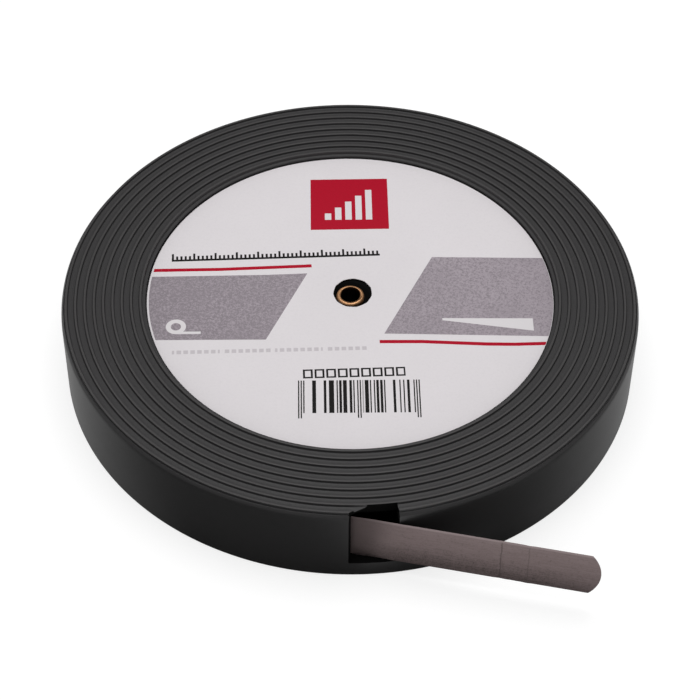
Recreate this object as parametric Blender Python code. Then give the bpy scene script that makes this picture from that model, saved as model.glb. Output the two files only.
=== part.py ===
"""Feeler gauge tape roll: a coil of thin spring steel in a flat round plastic case.

The case lies on its back. +Z is the case's axis, +X is the way the tape is pulled,
and the origin is on the axis at the underside. Lengths are in metres.
"""

import math

import bmesh
import bpy
from mathutils import Vector

# Case
CASE_RADIUS = 0.0665
WALL = 0.0033               # side wall below the lid
LID_RIM = 0.0006            # thin rim of the side wall round the lid
RIM_ROUND = 0.0005          # rounding of the rim's outer edge
FOOT_ROUND = 0.0004         # rounding of the bottom edge
FOOT_DEPTH = 0.00195        # height of the foot ring under the floor
FLOOR = 0.0022              # thickness of the floor

# Lid
LID_THICKNESS = 0.0019      # outside the label's recess, between the ribs
LID_WEB = 0.0015            # under the label
RIB_COUNT = 9               # raised rings on the lid, the outermost at its edge
RIB_PITCH = 0.002126        # measured along a radius
RIB_WIDTH = 0.00054         # across a rib's flat top
RIB_HEIGHT = 0.0006
RIB_DRAFT = 0.00005         # how far a rib's foot stands out past its top
SPIGOT_DEPTH = 0.00035      # ring under the lid that centres it in the wall
SPIGOT_WIDTH = 0.0040

# Tape
TAPE_WIDTH = 0.0127
TAPE_THICKNESS = 0.00008
TAPE_REACH = 0.0669         # from the case's axis to the tip, along the pull
TAPE_TIP_SAGITTA = 0.00225  # how far the tip's arc stands out from its corners
TAPE_HIDDEN_RUN = 0.0060    # straight run inside the case, behind the point of contact
COIL_BUILD = 0.00105        # thickness of the wound turns
COIL_RIDGES = 3             # ridges on each end of the coil
RIDGE_DEPTH = 0.0001

# Slot: angles are measured from the pull direction, round the case's axis
SLOT_START = math.radians(-78.64)
SLOT_END = math.radians(-69.31)
NOTCH_SLANT = math.radians(3.58)    # part of the slot that the slanted edge takes up

# Label
LABEL_RADIUS = 0.04687
LABEL_THICKNESS = 0.0002
LABEL_SINK = 0.0008         # label's face below the lid's face
LABEL_HOLE_RADIUS = 0.00445
LABEL_HOLE_SHIFT = Vector((0.0004, 0.0007))    # the hole is punched a little off centre

# Hub and eyelet
EYELET_BORE = 0.00215
EYELET_WALL = 0.00035
EYELET_FLANGE = 0.0032
EYELET_ROLL = 0.0011        # height of the rolled flange
EYELET_SINK = 0.0007        # rolled flange's top below the lid's face
WELL_FLOOR_RADIUS = 0.0037  # the eyelet's well widens from its floor
WELL_MOUTH_RADIUS = 0.0046
HUB_RADIUS = 0.0070
HUB_SPIGOT_RADIUS = 0.0049
HUB_SPIGOT_HEIGHT = 0.0030

CLEARANCE = 0.0003          # gap between pieces that touch
RUNNING_GAP = 0.0006        # between the coil's side and the case's wall
SEGMENTS = 80
SMALL_SEGMENTS = 32

# Heights that follow from these, from the floor up
floor_top = FOOT_DEPTH + FLOOR
tape_bottom = floor_top + CLEARANCE
tape_top = tape_bottom + TAPE_WIDTH
lid_underside = tape_top + CLEARANCE + SPIGOT_DEPTH
shoulder = lid_underside - CLEARANCE
lid_face = lid_underside + LID_THICKNESS        # also the top of the case's rim
rib_top = lid_face + RIB_HEIGHT
label_top = lid_face - LABEL_SINK
label_seat = label_top - LABEL_THICKNESS - CLEARANCE
web_underside = label_seat - LID_WEB
eyelet_top = lid_face - EYELET_SINK
well_floor = eyelet_top - EYELET_ROLL - CLEARANCE
hub_split = (floor_top + web_underside - HUB_SPIGOT_HEIGHT) / 2     # where its halves meet

# Radii that follow, from the outside in
wall_radius = CASE_RADIUS - WALL
lid_seat_radius = CASE_RADIUS - LID_RIM
lid_radius = lid_seat_radius - CLEARANCE
spigot_radius = wall_radius - CLEARANCE
notch_radius = lid_radius - RIB_PITCH + 2 * RIB_DRAFT     # just outside the second rib
tape_line = wall_radius - RUNNING_GAP           # distance of the straight run from the axis
coil_radius = tape_line - TAPE_THICKNESS / 2 - CLEARANCE
recess_radius = LABEL_RADIUS + CLEARANCE
hub_bore = EYELET_BORE + EYELET_WALL + CLEARANCE


def clear_scene():
    for thing in list(bpy.data.objects):
        bpy.data.objects.remove(thing, do_unlink=True)


def principled(name, colour, roughness, metallic=0.0):
    material = bpy.data.materials.new(name)
    material.use_nodes = True
    shader = material.node_tree.nodes["Principled BSDF"]
    shader.inputs["Base Color"].default_value = (*colour, 1.0)
    shader.inputs["Roughness"].default_value = roughness
    shader.inputs["Metallic"].default_value = metallic
    return material


def polar(radius, angle, height=0.0):
    return Vector((radius * math.cos(angle), radius * math.sin(angle), height))


def rounded_corner(centre_radius, centre_height, radius, start, end, steps=3):
    """Points of an arc in the profile plane, as (radius, height) pairs."""
    points = []
    for step in range(steps + 1):
        angle = math.radians(start + (end - start) * step / steps)
        points.append((centre_radius + radius * math.cos(angle),
                       centre_height + radius * math.sin(angle)))
    return points


def new_object(name, mesh, material):
    thing = bpy.data.objects.new(name, mesh)
    bpy.context.scene.collection.objects.link(thing)
    if material:
        mesh.materials.append(material)
    return thing


def finish_mesh(name, shape, material):
    bmesh.ops.recalc_face_normals(shape, faces=shape.faces)
    mesh = bpy.data.meshes.new(name)
    shape.to_mesh(mesh)
    shape.free()
    mesh.shade_smooth()
    mesh.set_sharp_from_angle(angle=math.radians(25))
    return new_object(name, mesh, material)


def turned(name, profile, material, segments=SEGMENTS):
    """A closed profile of (radius, height) points turned once round the Z axis."""
    shape = bmesh.new()
    corners = [shape.verts.new((radius, 0.0, height)) for radius, height in profile]
    outline = [shape.edges.new((corners[i - 1], corners[i])) for i in range(len(corners))]
    bmesh.ops.spin(shape, geom=corners + outline, cent=(0, 0, 0), axis=(0, 0, 1),
                   angle=math.tau, steps=segments, use_merge=True)
    return finish_mesh(name, shape, material)


def prism(name, outline, bottom, top, material=None):
    """A flat outline of (x, y) points pulled up from one height to another."""
    shape = bmesh.new()
    base = shape.faces.new([shape.verts.new((x, y, bottom)) for x, y in outline])
    pulled = bmesh.ops.extrude_face_region(shape, geom=[base])
    raised = [part for part in pulled["geom"] if isinstance(part, bmesh.types.BMVert)]
    bmesh.ops.translate(shape, verts=raised, vec=(0, 0, top - bottom))
    return finish_mesh(name, shape, material)


def cut(body, cutter):
    """Takes the cutter's shape out of the body, and keeps the cutter as a hidden guide."""
    boolean = body.modifiers.new(cutter.name, "BOOLEAN")
    boolean.operation = "DIFFERENCE"
    boolean.solver = "EXACT"
    boolean.object = cutter
    cutter.hide_render = True
    cutter.display_type = "WIRE"


def arc_points(radius, start, end, steps):
    return [polar(radius, start + (end - start) * step / steps).xy for step in range(steps + 1)]


def slot_cutter():
    """The exit slot, open at the top. Its first side is scarfed along the tape's straight run."""
    lead_in = math.acos((tape_line + CLEARANCE) / wall_radius) - math.pi / 2
    scarf_start = polar(wall_radius, lead_in)
    scarf_end = polar(CASE_RADIUS, SLOT_START)
    scarf = (scarf_end - scarf_start).normalized() * WALL / 2
    inside = arc_points(wall_radius - WALL / 2, SLOT_START, SLOT_END, 4)
    outside = arc_points(CASE_RADIUS + WALL, SLOT_END, SLOT_START, 4)
    outline = inside + outside + [(scarf_end + scarf).xy, (scarf_start - scarf).xy]
    return prism("slot_cutter", outline, floor_top, rib_top + WALL)


def notch_cutter():
    """The lid's notch over the slot. Its first edge slants in to the second rib."""
    slant_end = SLOT_START + NOTCH_SLANT
    inside = arc_points(notch_radius, slant_end, SLOT_END, 3)
    beyond = CASE_RADIUS + WALL
    slant = (polar(notch_radius, slant_end) - polar(lid_radius, SLOT_START)).normalized()
    far_corner = polar(lid_radius, SLOT_START) - slant * WALL
    outside = [polar(beyond, SLOT_END).xy, polar(beyond, SLOT_START).xy, far_corner.xy]
    return prism("notch_cutter", inside + outside, shoulder - WALL, rib_top + WALL)


def case_base(material):
    """Tray with its foot ring, floor, side wall and the lower half of the hub."""
    profile = [(hub_bore, FOOT_DEPTH),
               (wall_radius, FOOT_DEPTH),
               (wall_radius, 0.0)]
    profile += rounded_corner(CASE_RADIUS - FOOT_ROUND, FOOT_ROUND, FOOT_ROUND, -90, 0, 2)
    profile += rounded_corner(CASE_RADIUS - RIM_ROUND, lid_face - RIM_ROUND, RIM_ROUND, 0, 90)
    profile += [(lid_seat_radius, lid_face),
                (lid_seat_radius, shoulder),
                (wall_radius, shoulder),
                (wall_radius, floor_top),
                (HUB_RADIUS, floor_top),
                (HUB_RADIUS, hub_split),
                (HUB_SPIGOT_RADIUS, hub_split),
                (HUB_SPIGOT_RADIUS, hub_split + HUB_SPIGOT_HEIGHT),
                (hub_bore, hub_split + HUB_SPIGOT_HEIGHT)]
    base = turned("case_base", profile, material)
    cut(base, slot_cutter())
    return base


def ribbed_face():
    """Top face of the lid from its edge inwards, with its ribs, as profile points."""
    points = [(lid_radius, rib_top),
              (lid_radius - RIB_WIDTH, rib_top),
              (lid_radius - RIB_WIDTH - RIB_DRAFT, lid_face)]
    for rib in range(1, RIB_COUNT):
        outer = lid_radius - rib * RIB_PITCH
        points += [(outer + RIB_DRAFT, lid_face),
                   (outer, rib_top),
                   (outer - RIB_WIDTH, rib_top),
                   (outer - RIB_WIDTH - RIB_DRAFT, lid_face)]
    return points


def case_lid(material):
    """Ribbed lid with the label's recess, the eyelet's well and the upper half of the hub."""
    socket_radius = HUB_SPIGOT_RADIUS + CLEARANCE
    hub_end = hub_split + CLEARANCE
    profile = ribbed_face()
    profile += [(recess_radius, lid_face),
                (recess_radius, label_seat),
                (WELL_MOUTH_RADIUS, label_seat),
                (WELL_FLOOR_RADIUS, well_floor),
                (hub_bore, well_floor),
                (hub_bore, hub_end + HUB_SPIGOT_HEIGHT),
                (socket_radius, hub_end + HUB_SPIGOT_HEIGHT),
                (socket_radius, hub_end),
                (HUB_RADIUS, hub_end),
                (HUB_RADIUS, web_underside),
                (recess_radius + LID_WEB, web_underside),
                (recess_radius + LID_WEB, lid_underside),
                (spigot_radius - SPIGOT_WIDTH, lid_underside),
                (spigot_radius - SPIGOT_WIDTH, lid_underside - SPIGOT_DEPTH),
                (spigot_radius, lid_underside - SPIGOT_DEPTH),
                (spigot_radius, lid_underside),
                (lid_radius, lid_underside)]
    lid = turned("case_lid", profile, material)
    cut(lid, notch_cutter())
    return lid


def label(material):
    """Paper disc in the lid's recess, with the punched hole that clears the eyelet."""
    disc = prism("label", arc_points(LABEL_RADIUS, 0, math.tau, SEGMENTS)[:-1],
                 label_top - LABEL_THICKNESS, label_top, material)
    hole = [point + LABEL_HOLE_SHIFT
            for point in arc_points(LABEL_HOLE_RADIUS, 0, math.tau, SMALL_SEGMENTS)[:-1]]
    cut(disc, prism("punch", hole, label_top - 2 * LABEL_THICKNESS, label_top + LABEL_THICKNESS))
    return disc


def eyelet(material):
    """Hollow brass rivet through the hub: a flat flange below, a rolled one on top."""
    tube = EYELET_BORE + EYELET_WALL
    head_top = FOOT_DEPTH - CLEARANCE
    roll = (EYELET_FLANGE - EYELET_BORE) / 2
    profile = [(EYELET_BORE, head_top - EYELET_WALL),
               (EYELET_FLANGE, head_top - EYELET_WALL),
               (EYELET_FLANGE, head_top),
               (tube, head_top),
               (tube, well_floor + CLEARANCE),
               (EYELET_FLANGE, well_floor + CLEARANCE)]
    profile += rounded_corner(EYELET_BORE + roll, eyelet_top - roll, roll, 0, 180, 6)
    return turned("eyelet", profile, material, SMALL_SEGMENTS)


def tape_coil(material):
    """The wound turns of the tape as one ring, ridged on both ends."""
    ridge = COIL_BUILD / COIL_RIDGES
    inner = coil_radius - COIL_BUILD
    lower = []
    upper = []
    for turn in range(COIL_RIDGES):
        start = inner + turn * ridge
        lower += [(start, tape_bottom + RIDGE_DEPTH), (start + ridge / 2, tape_bottom)]
        upper += [(start, tape_top - RIDGE_DEPTH), (start + ridge / 2, tape_top)]
    lower.append((coil_radius, tape_bottom + RIDGE_DEPTH))
    upper.append((coil_radius, tape_top - RIDGE_DEPTH))
    return turned("tape_coil", lower + upper[::-1], material)


def tape_end(material):
    """The straight leading end of the tape, from inside the case to its rounded tip."""
    half = TAPE_WIDTH / 2
    tip_radius = (half ** 2 + TAPE_TIP_SAGITTA ** 2) / (2 * TAPE_TIP_SAGITTA)
    tip_angle = math.asin(half / tip_radius)
    middle = (tape_bottom + tape_top) / 2
    steps = 12
    outline = [(-TAPE_HIDDEN_RUN, tape_top), (-TAPE_HIDDEN_RUN, tape_bottom)]
    for step in range(steps + 1):
        angle = tip_angle * (2 * step / steps - 1)
        outline.append((TAPE_REACH - tip_radius + tip_radius * math.cos(angle),
                        middle + tip_radius * math.sin(angle)))
    shape = bmesh.new()
    near = -tape_line - TAPE_THICKNESS / 2
    side = shape.faces.new([shape.verts.new((x, near, z)) for x, z in outline])
    pulled = bmesh.ops.extrude_face_region(shape, geom=[side])
    moved = [part for part in pulled["geom"] if isinstance(part, bmesh.types.BMVert)]
    bmesh.ops.translate(shape, verts=moved, vec=(0, TAPE_THICKNESS, 0))
    return finish_mesh("tape_end", shape, material)


def build():
    clear_scene()
    black_plastic = principled("black_plastic", (0.030, 0.030, 0.032), 0.45)
    label_paper = principled("label_paper", (0.72, 0.69, 0.70), 0.60)
    brass = principled("brass", (0.62, 0.36, 0.14), 0.30, 1.0)
    spring_steel = principled("spring_steel", (0.22, 0.18, 0.17), 0.38, 1.0)
    case_base(black_plastic)
    case_lid(black_plastic)
    label(label_paper)
    eyelet(brass)
    tape_coil(spring_steel)
    tape_end(spring_steel)


build()
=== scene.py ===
import math

import bmesh
import bpy
from mathutils import Matrix, Vector


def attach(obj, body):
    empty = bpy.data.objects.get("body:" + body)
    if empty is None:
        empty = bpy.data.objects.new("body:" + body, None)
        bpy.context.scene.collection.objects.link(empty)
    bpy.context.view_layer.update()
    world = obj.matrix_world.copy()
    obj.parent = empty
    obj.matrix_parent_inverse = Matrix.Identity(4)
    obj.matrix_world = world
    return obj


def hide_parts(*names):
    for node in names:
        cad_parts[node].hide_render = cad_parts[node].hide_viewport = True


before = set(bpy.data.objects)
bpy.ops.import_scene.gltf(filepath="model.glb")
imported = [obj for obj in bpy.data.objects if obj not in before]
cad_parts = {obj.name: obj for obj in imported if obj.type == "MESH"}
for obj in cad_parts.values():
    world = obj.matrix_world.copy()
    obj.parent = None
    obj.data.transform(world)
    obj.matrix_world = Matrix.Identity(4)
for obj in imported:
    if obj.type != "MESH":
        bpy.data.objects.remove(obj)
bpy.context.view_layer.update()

mm = 0.001
sharpAngle = 28.0  # degrees, past which an edge is shaded sharp

# Sizes shared by several pieces, in millimetres and degrees. All but footRound and cutTop, the
# height that the cutters reach, are the CAD's
case = {
    "radius": 66.5, "wall": 3.3, "rim": 0.6, "footRound": 0.32,
    "footDepth": 1.95, "floorTop": 4.15, "shoulder": 17.5, "lidFace": 19.7,
    "clearance": 0.3, "tapeBottom": 4.45, "tapeTop": 17.15, "tapeLine": 62.6,
    "slotStart": -78.64, "slotEnd": -69.31, "notchSlant": 3.58,
    "hubRadius": 7.0, "hubSpigot": 4.9, "hubSpigotHeight": 3.0, "hubBore": 2.8,
    "webUnderside": 16.9, "cutTop": 24.0, "segments": 256,
}
case["inner"] = case["radius"] - case["wall"]
case["lidSeat"] = case["radius"] - case["rim"]
case["lidRadius"] = case["lidSeat"] - case["clearance"]
case["hubSplit"] = (case["floorTop"] + case["webUnderside"] - case["hubSpigotHeight"]) / 2


def toned(colour, factor):
    return tuple(part * factor for part in colour)


def feed(tree, socket, value):
    if isinstance(value, Field):
        tree.links.new(value.socket, socket)
    elif socket.type == "RGBA" and len(value) == 3:
        socket.default_value = (*value, 1.0)
    else:
        socket.default_value = value


class Field:
    # A shader socket that can be used in sums like a number
    def __init__(self, tree, socket):
        self.tree = tree
        self.socket = socket

    def math(self, operation, *values):
        node = self.tree.nodes.new("ShaderNodeMath")
        node.operation = operation
        for spot, value in enumerate(values or (self,)):
            feed(self.tree, node.inputs[spot], value)
        return Field(self.tree, node.outputs[0])

    def __add__(self, other):
        return self.math("ADD", self, other)

    def __radd__(self, other):
        return self.math("ADD", other, self)

    def __sub__(self, other):
        return self.math("SUBTRACT", self, other)

    def __rsub__(self, other):
        return self.math("SUBTRACT", other, self)

    def __mul__(self, other):
        return self.math("MULTIPLY", self, other)

    def __rmul__(self, other):
        return self.math("MULTIPLY", other, self)

    def __truediv__(self, other):
        return self.math("DIVIDE", self, other)

    def __rtruediv__(self, other):
        return self.math("DIVIDE", other, self)

    def __abs__(self):
        return self.math("ABSOLUTE")

    def least(self, other):
        return self.math("MINIMUM", self, other)

    def most(self, other):
        return self.math("MAXIMUM", self, other)

    def clamped(self):
        return self.least(1.0).most(0.0)

    def fraction(self):
        return self.math("FRACT")

    def sine(self):
        return self.math("SINE")

    def root(self):
        return self.math("SQRT")

    def above(self, edge, soft=0.05):
        return ((self - edge) / soft + 0.5).clamped()

    def below(self, edge, soft=0.05):
        return ((edge - self) / soft + 0.5).clamped()

    def between(self, low, high, soft=0.05):
        return self.above(low, soft) * self.below(high, soft)


class Paint:
    # A material or a world with its shader, and short ways to add nodes to it
    def __init__(self, owner):
        owner.use_nodes = True
        self.owner = owner
        self.tree = owner.node_tree
        self.shader = self.tree.nodes.get("Principled BSDF") or self.tree.nodes["Background"]

    def node(self, kind, settings=None, values=None, output=0):
        made = self.tree.nodes.new("ShaderNode" + kind)
        for key, value in (settings or {}).items():
            setattr(made, key, value)
        for key, value in (values or {}).items():
            feed(self.tree, made.inputs[key], value)
        return Field(self.tree, made.outputs[output])

    def places(self):
        # The place on the object in millimetres, and its x, y and z by themselves
        place = self.node("TexCoord", output="Object")
        scaled = self.node("VectorMath", {"operation": "SCALE"}, {0: place, "Scale": 1 / mm})
        parts = self.node("SeparateXYZ", values={0: scaled}).socket.node
        return [scaled] + [Field(self.tree, output) for output in parts.outputs]

    def joined(self, x, y, z):
        return self.node("CombineXYZ", values={0: x, 1: y, 2: z})

    def noise(self, place, scale, detail, roughness):
        return self.node("TexNoise", {"noise_dimensions": "3D"},
                         {"Vector": place, "Scale": scale, "Detail": detail,
                          "Roughness": roughness})

    def mixed(self, share, first, second):
        # The node's colour sockets come after those for numbers and vectors
        return self.node("Mix", {"data_type": "RGBA"}, {0: share, 6: first, 7: second}, 2)

    def bump(self, height, depth):
        return self.node("Bump", values={"Height": height, "Distance": depth})

    def set(self, **sockets):
        for key, value in sockets.items():
            feed(self.tree, self.shader.inputs[key.replace("_", " ")], value)


def finished(name, shape, paint, sharp=sharpAngle):
    bmesh.ops.recalc_face_normals(shape, faces=shape.faces)
    mesh = bpy.data.meshes.new(name)
    shape.to_mesh(mesh)
    shape.free()
    mesh.shade_smooth()
    mesh.set_sharp_from_angle(angle=math.radians(sharp))
    piece = bpy.data.objects.new(name, mesh)
    bpy.context.scene.collection.objects.link(piece)
    mesh.materials.append(paint.owner)
    return piece


def turnedShape(profile, segments):
    shape = bmesh.new()
    corners = [shape.verts.new((radius * mm, 0.0, height * mm)) for radius, height in profile]
    outline = [shape.edges.new((corners[i - 1], corners[i])) for i in range(len(corners))]
    bmesh.ops.spin(shape, geom=corners + outline, cent=(0, 0, 0), axis=(0, 0, 1),
                   angle=math.tau, steps=segments, use_merge=True)
    bmesh.ops.recalc_face_normals(shape, faces=shape.faces)
    return shape


def softened(shape, size, steps, wanted=None, least=20.0):
    # Bevels the edges that turn by more than least degrees
    sharp = [edge for edge in shape.edges
             if edge.is_manifold and edge.calc_face_angle() > math.radians(least)
             and (wanted is None or wanted(edge))]
    bmesh.ops.bevel(shape, geom=sharp, offset=size * mm, offset_type="OFFSET", segments=steps,
                    profile=0.5, affect="EDGES", clamp_overlap=True, material=-1)


def prismShape(outline, bottom, top):
    shape = bmesh.new()
    base = shape.faces.new([shape.verts.new((x * mm, y * mm, bottom * mm)) for x, y in outline])
    pulled = bmesh.ops.extrude_face_region(shape, geom=[base])
    raised = [part for part in pulled["geom"] if isinstance(part, bmesh.types.BMVert)]
    bmesh.ops.translate(shape, verts=raised, vec=(0, 0, (top - bottom) * mm))
    return shape


def polar(radius, degrees):
    angle = math.radians(degrees)
    return Vector((radius * math.cos(angle), radius * math.sin(angle)))


def arc(radius, start, end, steps):
    return [polar(radius, start + (end - start) * step / steps) for step in range(steps + 1)]


def carved(piece, shape):
    # Cuts the shape out of the piece, and gives the cut faces the near-black matt plastic:
    # painted shade
    cutter = finished("cutter", shape, paintedShadePlastic)
    if piece.data.materials.find(paintedShadePlastic.owner.name) < 0:
        piece.data.materials.append(paintedShadePlastic.owner)
    boolean = piece.modifiers.new("carve", "BOOLEAN")
    boolean.operation = "DIFFERENCE"
    boolean.solver = "EXACT"
    boolean.object = cutter
    boolean.material_mode = "TRANSFER"
    depsgraph = bpy.context.evaluated_depsgraph_get()
    depsgraph.update()
    mesh = bpy.data.meshes.new_from_object(piece.evaluated_get(depsgraph))
    piece.modifiers.clear()
    old = piece.data
    piece.data = mesh
    mesh.name = piece.name
    bpy.data.meshes.remove(old)
    bpy.data.objects.remove(cutter, do_unlink=True)
    mesh.shade_smooth()
    mesh.set_sharp_from_angle(angle=math.radians(sharpAngle))
    return piece


# Black plastic. Heights are in millimetres, and each noise has its scale, detail and roughness
plastic = {
    "colour": (0.016, 0.0153, 0.0157), "spread": 0.1, "roughness": 0.50, "specular": 0.5,
    # Painted light: the same plastic is given a lighter colour on the top faces and rim than on
    # the walls
    "face": (0.0290, 0.0275, 0.0285), "faceAbove": 19.2,  # the rim and the valleys between ribs
    # Painted highlight: the tops of the ribs are lighter still
    "ribTopHighlight": (0.046, 0.0435, 0.044), "ribTopHighlightAbove": 20.2,  # the tops of the ribs
    # Painted shade: the near-black matt plastic of the cut faces and the eyelet's well
    "inside": (0.004, 0.004, 0.004), "insideRoughness": 0.85, "insideSpecular": 0.03,
    "mottle": (0.5, 4.0, 0.6), "grain": (5.0, 3.0, 0.6), "grainDepth": 0.008,
    "lineStep": 0.30, "lineDepth": 0.006, "lineAbove": 19.5,  # the turning marks on the lid
}


def plasticPaint():
    paint = Paint(bpy.data.materials.new("blackPlastic"))
    place, x, y, z = paint.places()
    mottle = paint.noise(place, *plastic["mottle"])
    grain = paint.noise(place, *plastic["grain"])
    colour = paint.mixed((mottle - 0.5) * 1.6 + 0.5,
                         toned(plastic["colour"], 1 - plastic["spread"]),
                         toned(plastic["colour"], 1 + plastic["spread"]))
    # painted light: a lighter colour on the top faces and rim than on the walls
    colour = paint.mixed(z.above(plastic["faceAbove"], 0.3), colour, plastic["face"])
    # painted highlight on the rib tops
    colour = paint.mixed(z.above(plastic["ribTopHighlightAbove"], 0.1), colour, plastic["ribTopHighlight"])
    radius = (x * x + y * y).root()
    lines = (radius * (math.tau / plastic["lineStep"])).sine()
    lines = lines * z.above(plastic["lineAbove"], 0.1)
    height = grain * plastic["grainDepth"] + lines * plastic["lineDepth"]
    paint.set(Base_Color=colour, Roughness=plastic["roughness"] + (grain - 0.5) * 0.10,
              Specular_IOR_Level=plastic["specular"], Normal=paint.bump(height, mm))
    return paint


def paintedShadePaint():
    # A near-black matt plastic that is painted shade for cut faces and the well
    paint = Paint(bpy.data.materials.new("paintedShadePlastic"))
    place = paint.places()[0]
    grain = paint.noise(place, *plastic["grain"])
    colour = paint.mixed(grain, plastic["inside"], toned(plastic["inside"], 1.5))
    paint.set(Base_Color=colour, Roughness=plastic["insideRoughness"] + grain * 0.1,
              Specular_IOR_Level=plastic["insideSpecular"],
              Normal=paint.bump(grain, plastic["grainDepth"] * mm))
    return paint


blackPlastic = plasticPaint()
paintedShadePlastic = paintedShadePaint()
print("stage: plastic")

# Case base
rim = {
    "crest": 0.04, "shoulders": [(0.0, 1.6), (0.06, 0.95), (0.14, 0.62)],  # inset and depth
    "soft": 0.06, "softAbove": 19.0,
}
slot = {"leadBack": 1.0, "leadIn": 0.6, "steps": 4}


def slotOutline():
    # Its first side runs in square to the tape, then back along the tape to the wall's inside
    face = case["tapeLine"] + case["clearance"]
    corner = polar(case["radius"], case["slotStart"])
    lead = Vector((math.sqrt(case["inner"] ** 2 - face ** 2), -face))
    inside = arc(case["inner"] - case["wall"] / 2, case["slotStart"], case["slotEnd"],
                 slot["steps"])
    outside = arc(case["radius"] + case["wall"], case["slotEnd"], case["slotStart"],
                  slot["steps"])
    back = Vector((lead.x - slot["leadBack"], slot["leadIn"] - face))
    return inside + outside + [corner, Vector((corner.x, -face)), lead, back]


def buildBase():
    profile = [(case["hubBore"], case["footDepth"]),
               (case["inner"], case["footDepth"]),
               (case["inner"], 0.0),
               (case["radius"], 0.0),
               (case["radius"], 0.5 * case["lidFace"])]
    profile += [(case["radius"] - inset, case["lidFace"] - depth)
                for inset, depth in rim["shoulders"]]
    profile += [(case["lidSeat"] + rim["crest"], case["lidFace"]),
               (case["lidSeat"], case["lidFace"]),
               (case["lidSeat"], case["shoulder"]),
               (case["inner"], case["shoulder"]),
               (case["inner"], case["floorTop"]),
               (case["hubRadius"], case["floorTop"]),
               (case["hubRadius"], case["hubSplit"]),
               (case["hubSpigot"], case["hubSplit"]),
               (case["hubSpigot"], case["hubSplit"] + case["hubSpigotHeight"]),
               (case["hubBore"], case["hubSplit"] + case["hubSpigotHeight"])]
    shape = turnedShape(profile, case["segments"])
    softened(shape, rim["soft"], 2, lambda edge: edge.verts[0].co.z > rim["softAbove"] * mm)
    softened(shape, case["footRound"], 3, lambda edge: edge.verts[0].co.z < 0.01 * mm)
    piece = finished("caseBase", shape, blackPlastic)
    return carved(piece, prismShape(slotOutline(), case["floorTop"], case["cutTop"]))


caseBase = buildBase()
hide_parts("case_base")
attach(caseBase, "case")
print("stage: case base", len(caseBase.data.polygons))

# Lid
lid = {
    "ribs": 9, "pitch": 2.126, "width": 0.54, "height": 0.6, "draft": 0.10, "edge": 0.13,
    "underside": 17.8, "web": 1.5, "recess": 47.22, "lastRing": 19.5, "seat": 18.4,
    "wellFloor": 17.6, "wellFloorRadius": 3.7, "wellMouthRadius": 4.6, "wellRing": 1.3,
    "darkRadius": 5.6, "spigotDepth": 0.35, "spigotWidth": 4.0, "gap": 0.06, "shelf": 0.12,
    "notchBite": 0.04, "notchLip": 19.2, "notchOverlap": 0.3, "notchSteps": 6,
}


def buildLid():
    valley = case["lidFace"]
    top = valley + lid["height"]
    outer = case["lidRadius"]
    spigot = case["inner"] - case["clearance"]
    socket = case["hubSpigot"] + case["clearance"]
    hubEnd = case["hubSplit"] + case["clearance"]
    shelf = case["lidSeat"] - lid["gap"]
    profile = [(shelf, valley - lid["shelf"]), (outer, valley - lid["shelf"]),
               (outer, top), (outer - lid["width"], top),
               (outer - lid["width"] - lid["draft"], valley)]
    for rib in range(1, lid["ribs"]):
        start = outer - rib * lid["pitch"]
        profile += [(start + lid["draft"], valley), (start, top), (start - lid["width"], top),
                    (start - lid["width"] - lid["draft"], valley)]
    profile[-1] = (start - lid["width"] - lid["draft"], lid["lastRing"])
    profile += [(lid["recess"], lid["lastRing"]), (lid["recess"], lid["seat"]),
                (lid["wellMouthRadius"] + lid["wellRing"], lid["seat"]),
                (lid["wellMouthRadius"], lid["seat"]), (lid["wellFloorRadius"], lid["wellFloor"]),
                (case["hubBore"], lid["wellFloor"]),
                (case["hubBore"], hubEnd + case["hubSpigotHeight"]),
                (socket, hubEnd + case["hubSpigotHeight"]), (socket, hubEnd),
                (case["hubRadius"], hubEnd), (case["hubRadius"], case["webUnderside"]),
                (lid["recess"] + lid["web"], case["webUnderside"]),
                (lid["recess"] + lid["web"], lid["underside"]),
                (spigot - lid["spigotWidth"], lid["underside"]),
                (spigot - lid["spigotWidth"], lid["underside"] - lid["spigotDepth"]),
                (spigot, lid["underside"] - lid["spigotDepth"]),
                (spigot, lid["underside"]), (shelf, lid["underside"])]
    shape = turnedShape(profile, case["segments"])
    softened(shape, lid["edge"], 3,
             lambda edge: edge.verts[0].co.z > (lid["lastRing"] - 0.01) * mm)
    piece = finished("caseLid", shape, blackPlastic)
    # The notch is cut twice: square to the tape below, and slanted through the thin lip above
    notchRadius = outer - lid["pitch"] - lid["notchBite"]
    slantEnd = case["slotStart"] + case["notchSlant"]
    inside = arc(notchRadius, slantEnd, case["slotEnd"], lid["notchSteps"])
    beyond = case["radius"] + case["wall"]
    slant = (polar(notchRadius, slantEnd) - polar(outer, case["slotStart"])).normalized()
    farCorner = polar(outer, case["slotStart"]) - slant * case["wall"]
    outline = inside + [polar(beyond, case["slotEnd"]), polar(beyond, case["slotStart"]),
                        farCorner]
    side = polar(case["radius"], case["slotStart"]).x
    sideAngle = -math.degrees(math.acos(side / notchRadius))
    lower = arc(notchRadius, sideAngle, case["slotEnd"], lid["notchSteps"])
    lower += [polar(beyond, case["slotEnd"]), Vector((side, -beyond))]
    carved(piece, prismShape(lower, case["shoulder"] - case["wall"], lid["notchLip"]))
    carved(piece, prismShape(outline, lid["notchLip"] - lid["notchOverlap"], case["cutTop"]))
    dark = piece.data.materials.find(paintedShadePlastic.owner.name)
    # The well round the eyelet also gets the near-black plastic: painted shade
    for face in piece.data.polygons:  # the well round the eyelet
        inWell = face.center.to_2d().length < lid["darkRadius"] * mm
        if inWell and face.center.z > (lid["wellFloor"] - 0.1) * mm:
            face.material_index = dark
    return piece


caseLid = buildLid()
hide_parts("case_lid")
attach(caseLid, "case")
print("stage: lid", len(caseLid.data.polygons))

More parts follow.
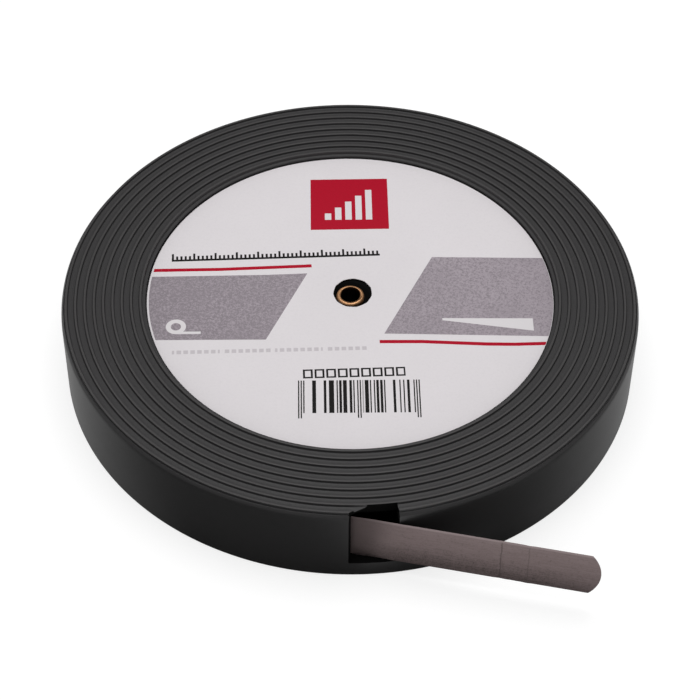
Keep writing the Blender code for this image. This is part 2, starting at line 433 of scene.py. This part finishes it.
# Label
label = {
    "radius": 46.90, "thickness": 0.2, "top": 18.9, "turn": 12.74, "segments": 192,
    "edgeRound": 0.06, "hole": 4.48, "shift": (0.38, 0.85), "holeSides": 11, "holeStretch": 1.04,
    "paper": (0.775, 0.74, 0.76), "fleck": (0.47, 0.44, 0.46), "red": (0.44, 0.002, 0.020),
    "grey": (0.330, 0.290, 0.320), "greyTilt": 0.005867, "greyLow": 0.76, "greyHigh": 1.26,
    "ink": (0.009, 0.008, 0.008), "white": (0.73, 0.70, 0.715), "faint": 0.42,
    "margin": 0.28, "inkShift": 0.18, "soft": 0.06, "roughness": 0.55, "specular": 0.12,
    "fibre": (1.6, 4.0, 0.7), "speck": (3.4, 2.0, 0.8), "cloud": (0.09, 3.0, 0.5),
}
# Printed shapes, as corners in millimetres from the case's axis, in the label's own turned frame
printed = {
    "redBlock": [(-9.0, 21.75), (9.65, 21.95), (9.65, 39.55), (-8.95, 39.35)],
    "leftBand": [(-60.0, -13.75), (-19.4, -13.95), (-10.0, 6.9), (-60.0, 6.27)],
    "leftRise": [(-32.0, 5.0), (-11.0, 5.0), (-9.9, 7.15), (-32.0, 6.27)],
    "rightBand": [(7.5, -12.4), (60.0, -14.2), (60.0, 11.25), (19.4, 12.25)],
    "upperRule": [(-60.0, 8.35), (-30.0, 8.71), (-8.9, 9.64)],
    "lowerRule": [(6.4, -14.9), (16.0, -15.0), (30.5, -15.93), (37.0, -16.1), (60.0, -15.5)],
    "ruleWidth": 1.02,
    "wedge": [(20.9, -8.35), (41.6, -11.9), (41.6, -8.0), (20.9, -7.7)],
    "scale": {"start": (-41.6, 11.4), "end": (7.2, 12.9), "height": 2.5, "step": 1.0,
              "width": 0.50, "base": 0.6, "group": 5, "tallPart": 0.18, "short": 0.68},
    "faintLine": {"start": (-41.2, -18.3), "end": (3.4, -17.4), "height": 1.1, "step": 1.55,
                  "dash": (0.12, 0.78), "word": 11.6, "wordPart": (0.06, 0.99)},
    "boxes": {"start": (-11.2, -26.0), "end": (11.9, -25.4), "height": 2.7, "step": 2.6,
              "gap": 0.2, "line": 0.45},
    "bars": {"start": (-12.15, -36.3), "end": (14.95, -36.3), "height": 9.7, "modules": 95,
             "seed": 40.5, "guards": (0, 2, 46, 48, 92, 94), "guard": 1.5, "clear": (3.0, 4.0)},
    "roll": {"centre": (-39.9, -9.7), "outer": 2.3, "inner": 1.15, "reach": 8.0, "strip": 0.75},
    "steps": {"start": (-5.6, 25.2), "step": 2.45, "width": 1.55, "low": 2.2, "rise": 2.05,
              "count": 5, "spare": 0.3},
}


def quad(u, v, corners):
    # 1 inside the corners, which run anticlockwise
    nearest = None
    for (x0, y0), (x1, y1) in zip(corners, corners[1:] + corners[:1]):
        length = math.hypot(x1 - x0, y1 - y0)
        across = (-(y1 - y0) / length, (x1 - x0) / length)
        inside = u * across[0] + v * across[1] - (x0 * across[0] + y0 * across[1])
        nearest = inside if nearest is None else nearest.least(inside)
    return nearest.above(0.0, label["soft"])


def alongLine(u, v, line):
    # How far a place is along the line and above it, and the line's length
    (x0, y0), (x1, y1) = line["start"], line["end"]
    length = math.hypot(x1 - x0, y1 - y0)
    east = ((x1 - x0) / length, (y1 - y0) / length)
    along = u * east[0] + v * east[1] - (x0 * east[0] + y0 * east[1])
    height = v * east[0] - u * east[1] - (y0 * east[0] - x0 * east[1])
    return along, height, length


def stripe(u, v, points, width):
    found = None
    for start, end in zip(points, points[1:]):
        along, height, length = alongLine(u, v, {"start": start, "end": end})
        part = abs(height).below(width / 2) * along.between(-0.03, length + 0.03)
        found = part if found is None else found.most(part)
    return found


def printedScale(u, v):
    line = printed["scale"]
    along, height, length = alongLine(u, v, line)
    soft = label["soft"]
    within = (along / line["step"]).fraction() * line["step"]
    tick = within.between(0.0, line["width"], soft)
    group = (along / (line["group"] * line["step"])).fraction()
    tall = group.below(line["tallPart"], 0.02)
    reach = line["height"] * (line["short"] + tall * (1 - line["short"]))
    ticks = tick * height.above(0.0) * (reach - height).above(0.0, soft)
    base = height.between(-0.02, line["base"], soft)
    return ticks.most(base) * along.between(0.0, length, soft)


def printedFaint(u, v):
    line = printed["faintLine"]
    along, height, length = alongLine(u, v, line)
    dash = (along / line["step"]).fraction().between(*line["dash"], 0.08)
    word = (along / line["word"]).fraction().between(*line["wordPart"], 0.01)
    return dash * word * height.between(0.0, line["height"], 0.12) * along.between(0.0, length)


def printedBoxes(u, v):
    line = printed["boxes"]
    along, height, length = alongLine(u, v, line)
    soft = label["soft"]
    within = (along / line["step"]).fraction() * line["step"]
    edge = line["gap"]
    outer = within.between(edge, line["step"] - edge, soft)
    outer = outer * height.between(0.0, line["height"], soft)
    edge = line["gap"] + line["line"]
    inner = within.between(edge, line["step"] - edge, soft)
    inner = inner * height.between(line["line"], line["height"] - line["line"], soft)
    return (outer - inner).clamped() * along.between(0.0, length)


def printedBars(paint, u, v):
    # Bars by chance between long guard bars: they stand for no number
    line = printed["bars"]
    along, height, length = alongLine(u, v, line)
    index = (along * (line["modules"] / length)).math("FLOOR")
    chance = paint.node("TexWhiteNoise", {"noise_dimensions": "1D"}, {"W": index + line["seed"]})
    middle = line["modules"] / 2
    nearMiddle, nearEnd = line["clear"]
    clear = abs(index + 0.5 - middle).between(nearMiddle, middle - nearEnd, 0.1)
    bar = chance.above(0.5, 0.01) * clear
    ends = None
    for guard in line["guards"]:
        found = abs(index - guard).below(0.5, 0.1)
        ends = found if ends is None else ends.most(found)
    tall = (height + ends * line["guard"]).above(0.0, label["soft"])
    return bar.most(ends) * tall * height.below(line["height"], label["soft"])


def printedRoll(u, v):
    mark = printed["roll"]
    x0, y0 = mark["centre"]
    distance = ((u - x0) * (u - x0) + (v - y0) * (v - y0)).root()
    soft = label["soft"]
    ring = distance.between(mark["inner"], mark["outer"], soft)
    strip = u.between(x0, x0 + mark["reach"] - mark["outer"], soft)
    low = y0 - mark["outer"]
    return ring.most(strip * v.between(low, low + mark["strip"], soft))


def printedSteps(u, v):
    mark = printed["steps"]
    x0, y0 = mark["start"]
    along = u - x0
    spot = (along / mark["step"]).math("FLOOR")
    within = along - spot * mark["step"]
    tall = mark["low"] + spot * mark["rise"]
    height = v - y0
    soft = label["soft"]
    bar = within.between(0.0, mark["width"], soft) * height.above(0.0, soft)
    bar = bar * (tall - height).above(0.0, soft)
    return bar * along.between(0.0, mark["step"] * mark["count"] - mark["spare"])


def labelPaint():
    paint = Paint(bpy.data.materials.new("labelPaper"))
    place, x, y = paint.places()[:3]
    turn = math.radians(label["turn"])
    u = x * math.cos(turn) + y * math.sin(turn)
    v = y * math.cos(turn) - x * math.sin(turn)
    fibre = paint.noise(place, *label["fibre"])
    speck = paint.noise(place, *label["speck"])
    cloud = paint.noise(place, *label["cloud"])
    paper = paint.mixed(cloud, label["paper"], toned(label["paper"], 0.96))
    paper = paint.mixed(fibre.above(0.60, 0.25) * 0.10, paper, label["fleck"])
    # the grey print runs lighter towards the right: painted light
    screen = (speck - 0.5) * 3.4 + (fibre - 0.5) * 4.4 + 0.5 + u * label["greyTilt"]
    grey = paint.mixed(screen, toned(label["grey"], label["greyLow"]),
                       toned(label["grey"], label["greyHigh"]))
    grey = paint.mixed(cloud.above(0.5, 0.5) * 0.5, grey, toned(label["grey"], 0.88))
    aside = x - label["inkShift"]
    inked = (aside * aside + y * y).root().below(label["radius"] - label["margin"], 0.1)
    band = quad(u, v, printed["leftBand"]).most(quad(u, v, printed["rightBand"]))
    band = band.most(quad(u, v, printed["leftRise"])) * inked
    colour = paint.mixed(band, paper, grey)
    width = printed["ruleWidth"]
    rules = stripe(u, v, printed["upperRule"], width).most(
        stripe(u, v, printed["lowerRule"], width)) * inked
    block = quad(u, v, printed["redBlock"])
    red = paint.mixed((speck - 0.5) * 2.0 + 0.5, toned(label["red"], 0.9),
                      toned(label["red"], 1.1))
    colour = paint.mixed(rules.most(block), colour, red)
    white = quad(u, v, printed["wedge"]).most(printedRoll(u, v)).most(printedSteps(u, v))
    colour = paint.mixed(white, colour, label["white"])
    colour = paint.mixed(printedFaint(u, v) * label["faint"], colour, label["grey"])
    black = printedScale(u, v).most(printedBoxes(u, v)).most(printedBars(paint, u, v))
    colour = paint.mixed(black, colour, label["ink"])
    paint.set(Base_Color=colour, Roughness=label["roughness"],
              Specular_IOR_Level=label["specular"], Normal=paint.bump(fibre, 0.005 * mm))
    return paint


def buildLabel():
    shape = bmesh.new()
    place = Matrix.Translation((0, 0, (label["top"] - label["thickness"]) * mm))
    shift = Matrix.Translation((label["shift"][0] * mm, label["shift"][1] * mm, 0))
    bmesh.ops.create_circle(shape, segments=label["segments"], radius=label["radius"] * mm,
                            matrix=place)
    hole = bmesh.ops.create_circle(shape, segments=label["segments"],
                                   radius=label["hole"] * mm, matrix=place)["verts"]
    side = math.tau / label["holeSides"]
    for vert in hole:  # cut by hand, so its edge is made of short straights
        turn = math.atan2(vert.co.y, vert.co.x) % side - side / 2
        flat = 0.5 + 0.5 * math.cos(side / 2) / math.cos(turn)
        vert.co.x *= flat
        vert.co.y *= flat * label["holeStretch"]
    bmesh.ops.transform(shape, matrix=shift, verts=hole)
    bmesh.ops.bridge_loops(shape, edges=shape.edges[:])
    pulled = bmesh.ops.extrude_face_region(shape, geom=shape.faces[:])
    raised = [part for part in pulled["geom"] if isinstance(part, bmesh.types.BMVert)]
    bmesh.ops.translate(shape, verts=raised, vec=(0, 0, label["thickness"] * mm))
    softened(shape, label["edgeRound"], 2)
    return finished("labelDisc", shape, labelPaint())


labelPiece = buildLabel()
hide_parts("label")
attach(labelPiece, "case")
print("stage: label", len(labelPiece.data.polygons))

# Eyelet
eyelet = {
    "bore": 2.15, "wall": 0.35, "flange": 3.2, "top": 19.0, "segments": 96, "rollSteps": 16,
    "colour": (0.78, 0.44, 0.23), "stain": (0.56, 0.28, 0.13), "roughness": 0.42,
    # Painted shade: the colour of the darkened bore, and how far it reaches, more on the far side
    "inside": (0.02, 0.010, 0.006), "insideEdge": 0.08, "farEdge": 0.14,
    # Painted shade: a dark curved line on the roll's lower right
    "shadeLine": {"shift": (-0.35, 0.30), "radius": 3.02, "width": 0.16, "from": 2.6},
    "cloud": (1.6, 4.0, 0.6),
}


def eyeletPaint():
    paint = Paint(bpy.data.materials.new("eyeletBrass"))
    place, x, y = paint.places()[:3]
    stain = paint.noise(place, *eyelet["cloud"])
    radius = (x * x + y * y).root()
    # painted shade: a dark line along the roll's lower right
    shadeLine = eyelet["shadeLine"]
    east = x - shadeLine["shift"][0]
    north = y - shadeLine["shift"][1]
    line = (east * east + north * north).root() - shadeLine["radius"]
    line = abs(line).below(shadeLine["width"] / 2, 0.05) * (x - y).above(shadeLine["from"], 0.3)
    colour = paint.mixed(stain.above(0.52, 0.3) * 0.45, eyelet["colour"], eyelet["stain"])
    # painted shade: the bore and its far inner wall darkened
    boreShade = radius - y.most(0.0) * eyelet["farEdge"]
    boreShade = boreShade.below(eyelet["bore"] + eyelet["insideEdge"], 0.1)
    colour = paint.mixed(boreShade.most(line), colour, eyelet["inside"])
    paint.set(Base_Color=colour, Metallic=1.0, Roughness=eyelet["roughness"] + stain * 0.15,
              Normal=paint.bump(stain, 0.02 * mm))
    return paint


def buildEyelet():
    tube = eyelet["bore"] + eyelet["wall"]
    headTop = case["footDepth"] - case["clearance"]
    roll = (eyelet["flange"] - eyelet["bore"]) / 2
    profile = [(eyelet["bore"], headTop - eyelet["wall"]),
               (eyelet["flange"], headTop - eyelet["wall"]),
               (eyelet["flange"], headTop), (tube, headTop),
               (tube, lid["wellFloor"] + case["clearance"]),
               (eyelet["flange"], lid["wellFloor"] + case["clearance"])]
    for step in range(eyelet["rollSteps"] + 1):
        angle = math.pi * step / eyelet["rollSteps"]
        profile.append((eyelet["bore"] + roll + roll * math.cos(angle),
                        eyelet["top"] - roll + roll * math.sin(angle)))
    shape = turnedShape(profile, eyelet["segments"])
    return finished("eyeletRoll", shape, eyeletPaint(), sharp=40.0)


eyeletPiece = buildEyelet()
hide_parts("eyelet")
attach(eyeletPiece, "case")
print("stage: eyelet", len(eyeletPiece.data.polygons))

# Tape
tape = {
    "reach": 66.9, "sagitta": 2.25, "hiddenRun": 6.0, "thickness": 0.08, "build": 1.05,
    "turns": 12, "turnEdge": 0.06, "turnGap": 0.012, "segments": 192,
    "along": 240, "across": 24,  # the grid that the straight end is made from
    "colour": (0.185, 0.143, 0.142), "bright": (0.29, 0.235, 0.235),
    # The darker colour serves the stains, specks and dark streaks, and also the painted shade
    "stainAndShade": (0.088, 0.070, 0.067), "shade": (0.012, 0.010, 0.010), "roughness": 0.42,
    # Painted light: the strip is lighter near the slot, fading over a span
    "slotLight": (0.30, 0.240, 0.237), "slotLightTo": 27.0, "slotLightSpan": 13.0, "slotLightShare": 0.85,
    # Painted highlight along the top edge, and painted shade darkening the lower part of the
    # strip, less towards the tip
    "topHighlightAbove": 0.955, "lowFrom": 0.12, "lowSpan": 0.40,  # shares of the strip's width
    "tipFrom": 64.0, "tipSpan": 10.0, "tipShare": 0.4,
    "streak": (5.0, 5.0, 0.75), "broad": (1.3, 3.0, 0.6),
    "speck": (2.6, 3.0, 0.7), "stain": (0.8, 3.0, 0.6),
    # Painted shade along the creases
    "lines": [(45.5, 0.7), (51.4, 0.4)], "lineWidth": 0.14,
    "creases": [(45.5, 0.06), (51.4, -0.072), (48.1, 0.03)], "creaseWidth": 0.8,
}


def steelPaint():
    paint = Paint(bpy.data.materials.new("springSteel"))
    place, x, y, z = paint.places()
    # Noise drawn out along the strip makes its lengthwise scratches and bands
    streak = paint.noise(paint.joined(x * 0.035, y * 0.1, z), *tape["streak"])
    broad = paint.noise(paint.joined(x * 0.02, y, z * 0.35), *tape["broad"])
    speck = paint.noise(place, *tape["speck"])
    stain = paint.noise(place, *tape["stain"])
    height = (z - case["tapeBottom"]) / (case["tapeTop"] - case["tapeBottom"])
    # painted shade: darker towards the strip's bottom edge, less so near the tip
    low = 1.0 - ((height - tape["lowFrom"]) / tape["lowSpan"]).clamped()
    tip = ((tape["tipFrom"] - x) / tape["tipSpan"]).clamped()
    low = low * (tip * (1 - tape["tipShare"]) + tape["tipShare"])
    # painted highlight along the strip's top edge
    crest = height.above(tape["topHighlightAbove"], 0.03)
    spots = speck.above(0.58, 0.08) * (0.25 + low * 0.75)
    stainAndShade = low * 0.50 + (stain - 0.5) * 1.1 + (speck - 0.5) * 1.3 + spots * 0.35
    colour = paint.mixed(stainAndShade.clamped(), tape["colour"], tape["stainAndShade"])
    colour = paint.mixed((streak.above(0.58, 0.16) * 0.30 + (broad - 0.5) * 0.4).clamped(),
                         colour, tape["bright"])
    colour = paint.mixed(streak.below(0.40, 0.10) * 0.40, colour, tape["stainAndShade"])
    # painted shade in the creases
    for spot, share in tape["lines"]:
        wander = x + (stain - 0.5) * 0.8 - spot
        line = abs(wander).below(tape["lineWidth"], 0.12)
        colour = paint.mixed(line * share, colour, tape["stainAndShade"])
    # painted light: the strip lighter near the slot
    near = ((tape["slotLightTo"] - x) / tape["slotLightSpan"]).clamped()
    colour = paint.mixed(crest * 0.8, colour, tape["bright"])
    colour = paint.mixed(near * near * tape["slotLightShare"], colour, tape["slotLight"])
    radius = (x * x + y * y).root()
    wound = radius.below(case["tapeLine"] - 0.2, 0.3)  # only the coil, which stays in the dark
    colour = paint.mixed(wound, colour, tape["shade"])
    relief = streak * 0.005 + speck * 0.006
    paint.set(Base_Color=colour, Metallic=1.0,
              Roughness=tape["roughness"] + (streak - 0.5) * 0.25 + low * 0.08,
              Normal=paint.bump(relief, mm))
    return paint


springSteel = steelPaint()


def buildCoil():
    turnSize = tape["build"] / tape["turns"]
    outer = case["tapeLine"] - tape["thickness"] / 2 - case["clearance"]
    inner = outer - tape["build"]
    lower = []
    upper = []
    for turn in range(tape["turns"]):
        start = inner + turn * turnSize
        near = start + tape["turnGap"]
        far = start + turnSize - tape["turnGap"]
        lower += [(start, case["tapeBottom"] + tape["turnEdge"]), (near, case["tapeBottom"]),
                  (far, case["tapeBottom"])]
        upper += [(start, case["tapeTop"] - tape["turnEdge"]), (near, case["tapeTop"]),
                  (far, case["tapeTop"])]
    lower.append((outer, case["tapeBottom"] + tape["turnEdge"]))
    upper.append((outer, case["tapeTop"] - tape["turnEdge"]))
    shape = turnedShape(lower + upper[::-1], tape["segments"])
    return finished("tapeCoil", shape, springSteel)


tapeCoil = buildCoil()
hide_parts("tape_coil")
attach(tapeCoil, "coil")


def buildTape():
    half = (case["tapeTop"] - case["tapeBottom"]) / 2
    middle = (case["tapeTop"] + case["tapeBottom"]) / 2
    tipRadius = (half ** 2 + tape["sagitta"] ** 2) / (2 * tape["sagitta"])
    start = -tape["hiddenRun"]
    shape = bmesh.new()
    bmesh.ops.create_grid(shape, x_segments=tape["along"], y_segments=tape["across"], size=0.5)
    for vert in shape.verts:
        height = vert.co.y * 2 * half
        end = tape["reach"] - tipRadius + math.sqrt(tipRadius ** 2 - height ** 2)
        along = start + (end - start) * (vert.co.x + 0.5)
        side = 0.0
        for centre, depth in tape["creases"]:
            side += depth * math.exp(-((along - centre) / tape["creaseWidth"]) ** 2)
        vert.co = Vector((along, -case["tapeLine"] + side, middle + height)) * mm
    bmesh.ops.recalc_face_normals(shape, faces=shape.faces)
    bmesh.ops.solidify(shape, geom=shape.faces[:], thickness=tape["thickness"] * mm)
    return finished("tapeEnd", shape, springSteel, sharp=50.0)


tapeEnd = buildTape()
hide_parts("tape_end")
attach(tapeEnd, "tape")
print("stage: tape", len(tapeCoil.data.polygons), len(tapeEnd.data.polygons))

# Floor, world, lights and camera
studio = {
    "floor": (0.92, 0.92, 0.92), "floorRadius": 2500.0, "floorDrop": 0.05,
    "floorGlow": 0.62, "glowStrength": 1.19,
    # What the case's front wall mirrors and is lit by: a darker stretch of floor before it
    "frontCard": (0.20, 0.20, 0.20), "cardFrom": -2.0, "cardTo": -58.0,
    "cardRight": 18.5, "cardSoft": 3.5, "cardTape": -69.0, "cardTapeSoft": 6.0,
    # The world as a light, and in mirrors its share above the height from highFrom to highTo
    "sky": 0.46, "high": 0.15, "highFrom": -0.05, "highTo": 0.10,
    "lights": {
        "topBox": {"place": (0.0, 0.15, 1.25), "size": (0.9, 0.9), "power": 8.4},
    },
    "lightTurn": 11.24,
}


def buildFloor():
    shape = bmesh.new()
    bmesh.ops.create_circle(shape, cap_ends=True, segments=96,
                            radius=studio["floorRadius"] * mm,
                            matrix=Matrix.Translation((0, 0, -studio["floorDrop"] * mm)))
    paint = Paint(bpy.data.materials.new("floorPaint"))
    floor = finished("studioFloor", shape, paint)
    seen = paint.node("LightPath", output="Is Camera Ray")
    mirrored = paint.node("LightPath", output="Is Glossy Ray")
    x, y = paint.places()[1:3]
    turn = math.radians(studio["lightTurn"])
    back = y * math.cos(turn) - x * math.sin(turn)
    near = ((studio["cardFrom"] - back) / (studio["cardFrom"] - studio["cardTo"])).clamped()
    near = near * x.below(studio["cardRight"], studio["cardSoft"]).most(
        y.above(studio["cardTape"], studio["cardTapeSoft"]))
    card = paint.mixed(near, studio["floor"], studio["frontCard"])
    colour = paint.mixed(seen, card, studio["floor"])
    seen = seen.most(mirrored * (1.0 - near))
    paint.set(Base_Color=colour, Roughness=1.0, Specular_IOR_Level=0.0)
    plain = Field(paint.tree, paint.shader.outputs[0])
    glow = paint.node("Emission", values={"Strength": studio["glowStrength"]})
    mix = paint.node("MixShader", values={0: seen * studio["floorGlow"], 1: plain, 2: glow})
    feed(paint.tree, paint.tree.nodes["Material Output"].inputs[0], mix)


def buildWorld():
    paint = Paint(bpy.data.worlds.new("studioWorld"))
    bpy.context.scene.world = paint.owner
    seen = paint.node("LightPath", output="Is Camera Ray")
    seen = seen.most(paint.node("LightPath", output="Is Transmission Ray"))
    glossy = paint.node("LightPath", output="Is Glossy Ray")
    place = paint.node("TexCoord", output="Generated")
    height = paint.node("SeparateXYZ", values={0: place}, output=2)
    rise = ((height - studio["highFrom"]) / (studio["highTo"] - studio["highFrom"])).clamped()
    mirrored = 1.0 - rise * (1.0 - studio["high"])
    strength = seen + (1.0 - seen) * (glossy * mirrored + (1.0 - glossy) * studio["sky"])
    paint.set(Color=(1.0, 1.0, 1.0), Strength=strength)


def addLight(name, facts):
    data = bpy.data.lights.new(name, "AREA")
    data.shape = "RECTANGLE"
    data.size, data.size_y = facts["size"]
    data.energy = facts["power"]
    light = bpy.data.objects.new(name, data)
    bpy.context.scene.collection.objects.link(light)
    turn = Matrix.Rotation(math.radians(studio["lightTurn"]), 3, "Z")
    light.location = turn @ Vector(facts["place"])
    light.rotation_euler = (-light.location).to_track_quat("-Z", "Y").to_euler()


# The photograph's view, from the camera fitted to it. The shift is in pixels of its frame
view = {
    "place": (0.069108, -0.347745, 0.379502),
    "forward": (-0.132714, 0.669616, -0.730754),
    "right": (0.979364, 0.201975, 0.007212),
    "up": (-0.152424, 0.714717, 0.682603),
    "lens": 112.54, "sensor": 36.0, "shift": (-0.5, 0.85), "frame": 700, "clipStart": 0.01,
}


def buildCamera():
    data = bpy.data.cameras.new("photoCamera")
    data.lens = view["lens"]
    data.sensor_width = view["sensor"]
    data.shift_x, data.shift_y = [shift / view["frame"] for shift in view["shift"]]
    data.clip_start = view["clipStart"]
    camera = bpy.data.objects.new("photoCamera", data)
    bpy.context.scene.collection.objects.link(camera)
    back = -Vector(view["forward"])
    turn = Matrix((view["right"], view["up"], back)).transposed().to_4x4()
    camera.matrix_world = Matrix.Translation(view["place"]) @ turn
    bpy.context.scene.camera = camera


buildFloor()
buildWorld()
for lightName, facts in studio["lights"].items():
    addLight(lightName, facts)
buildCamera()
bpy.context.scene.view_settings.view_transform = "Standard"
print("stage: studio")
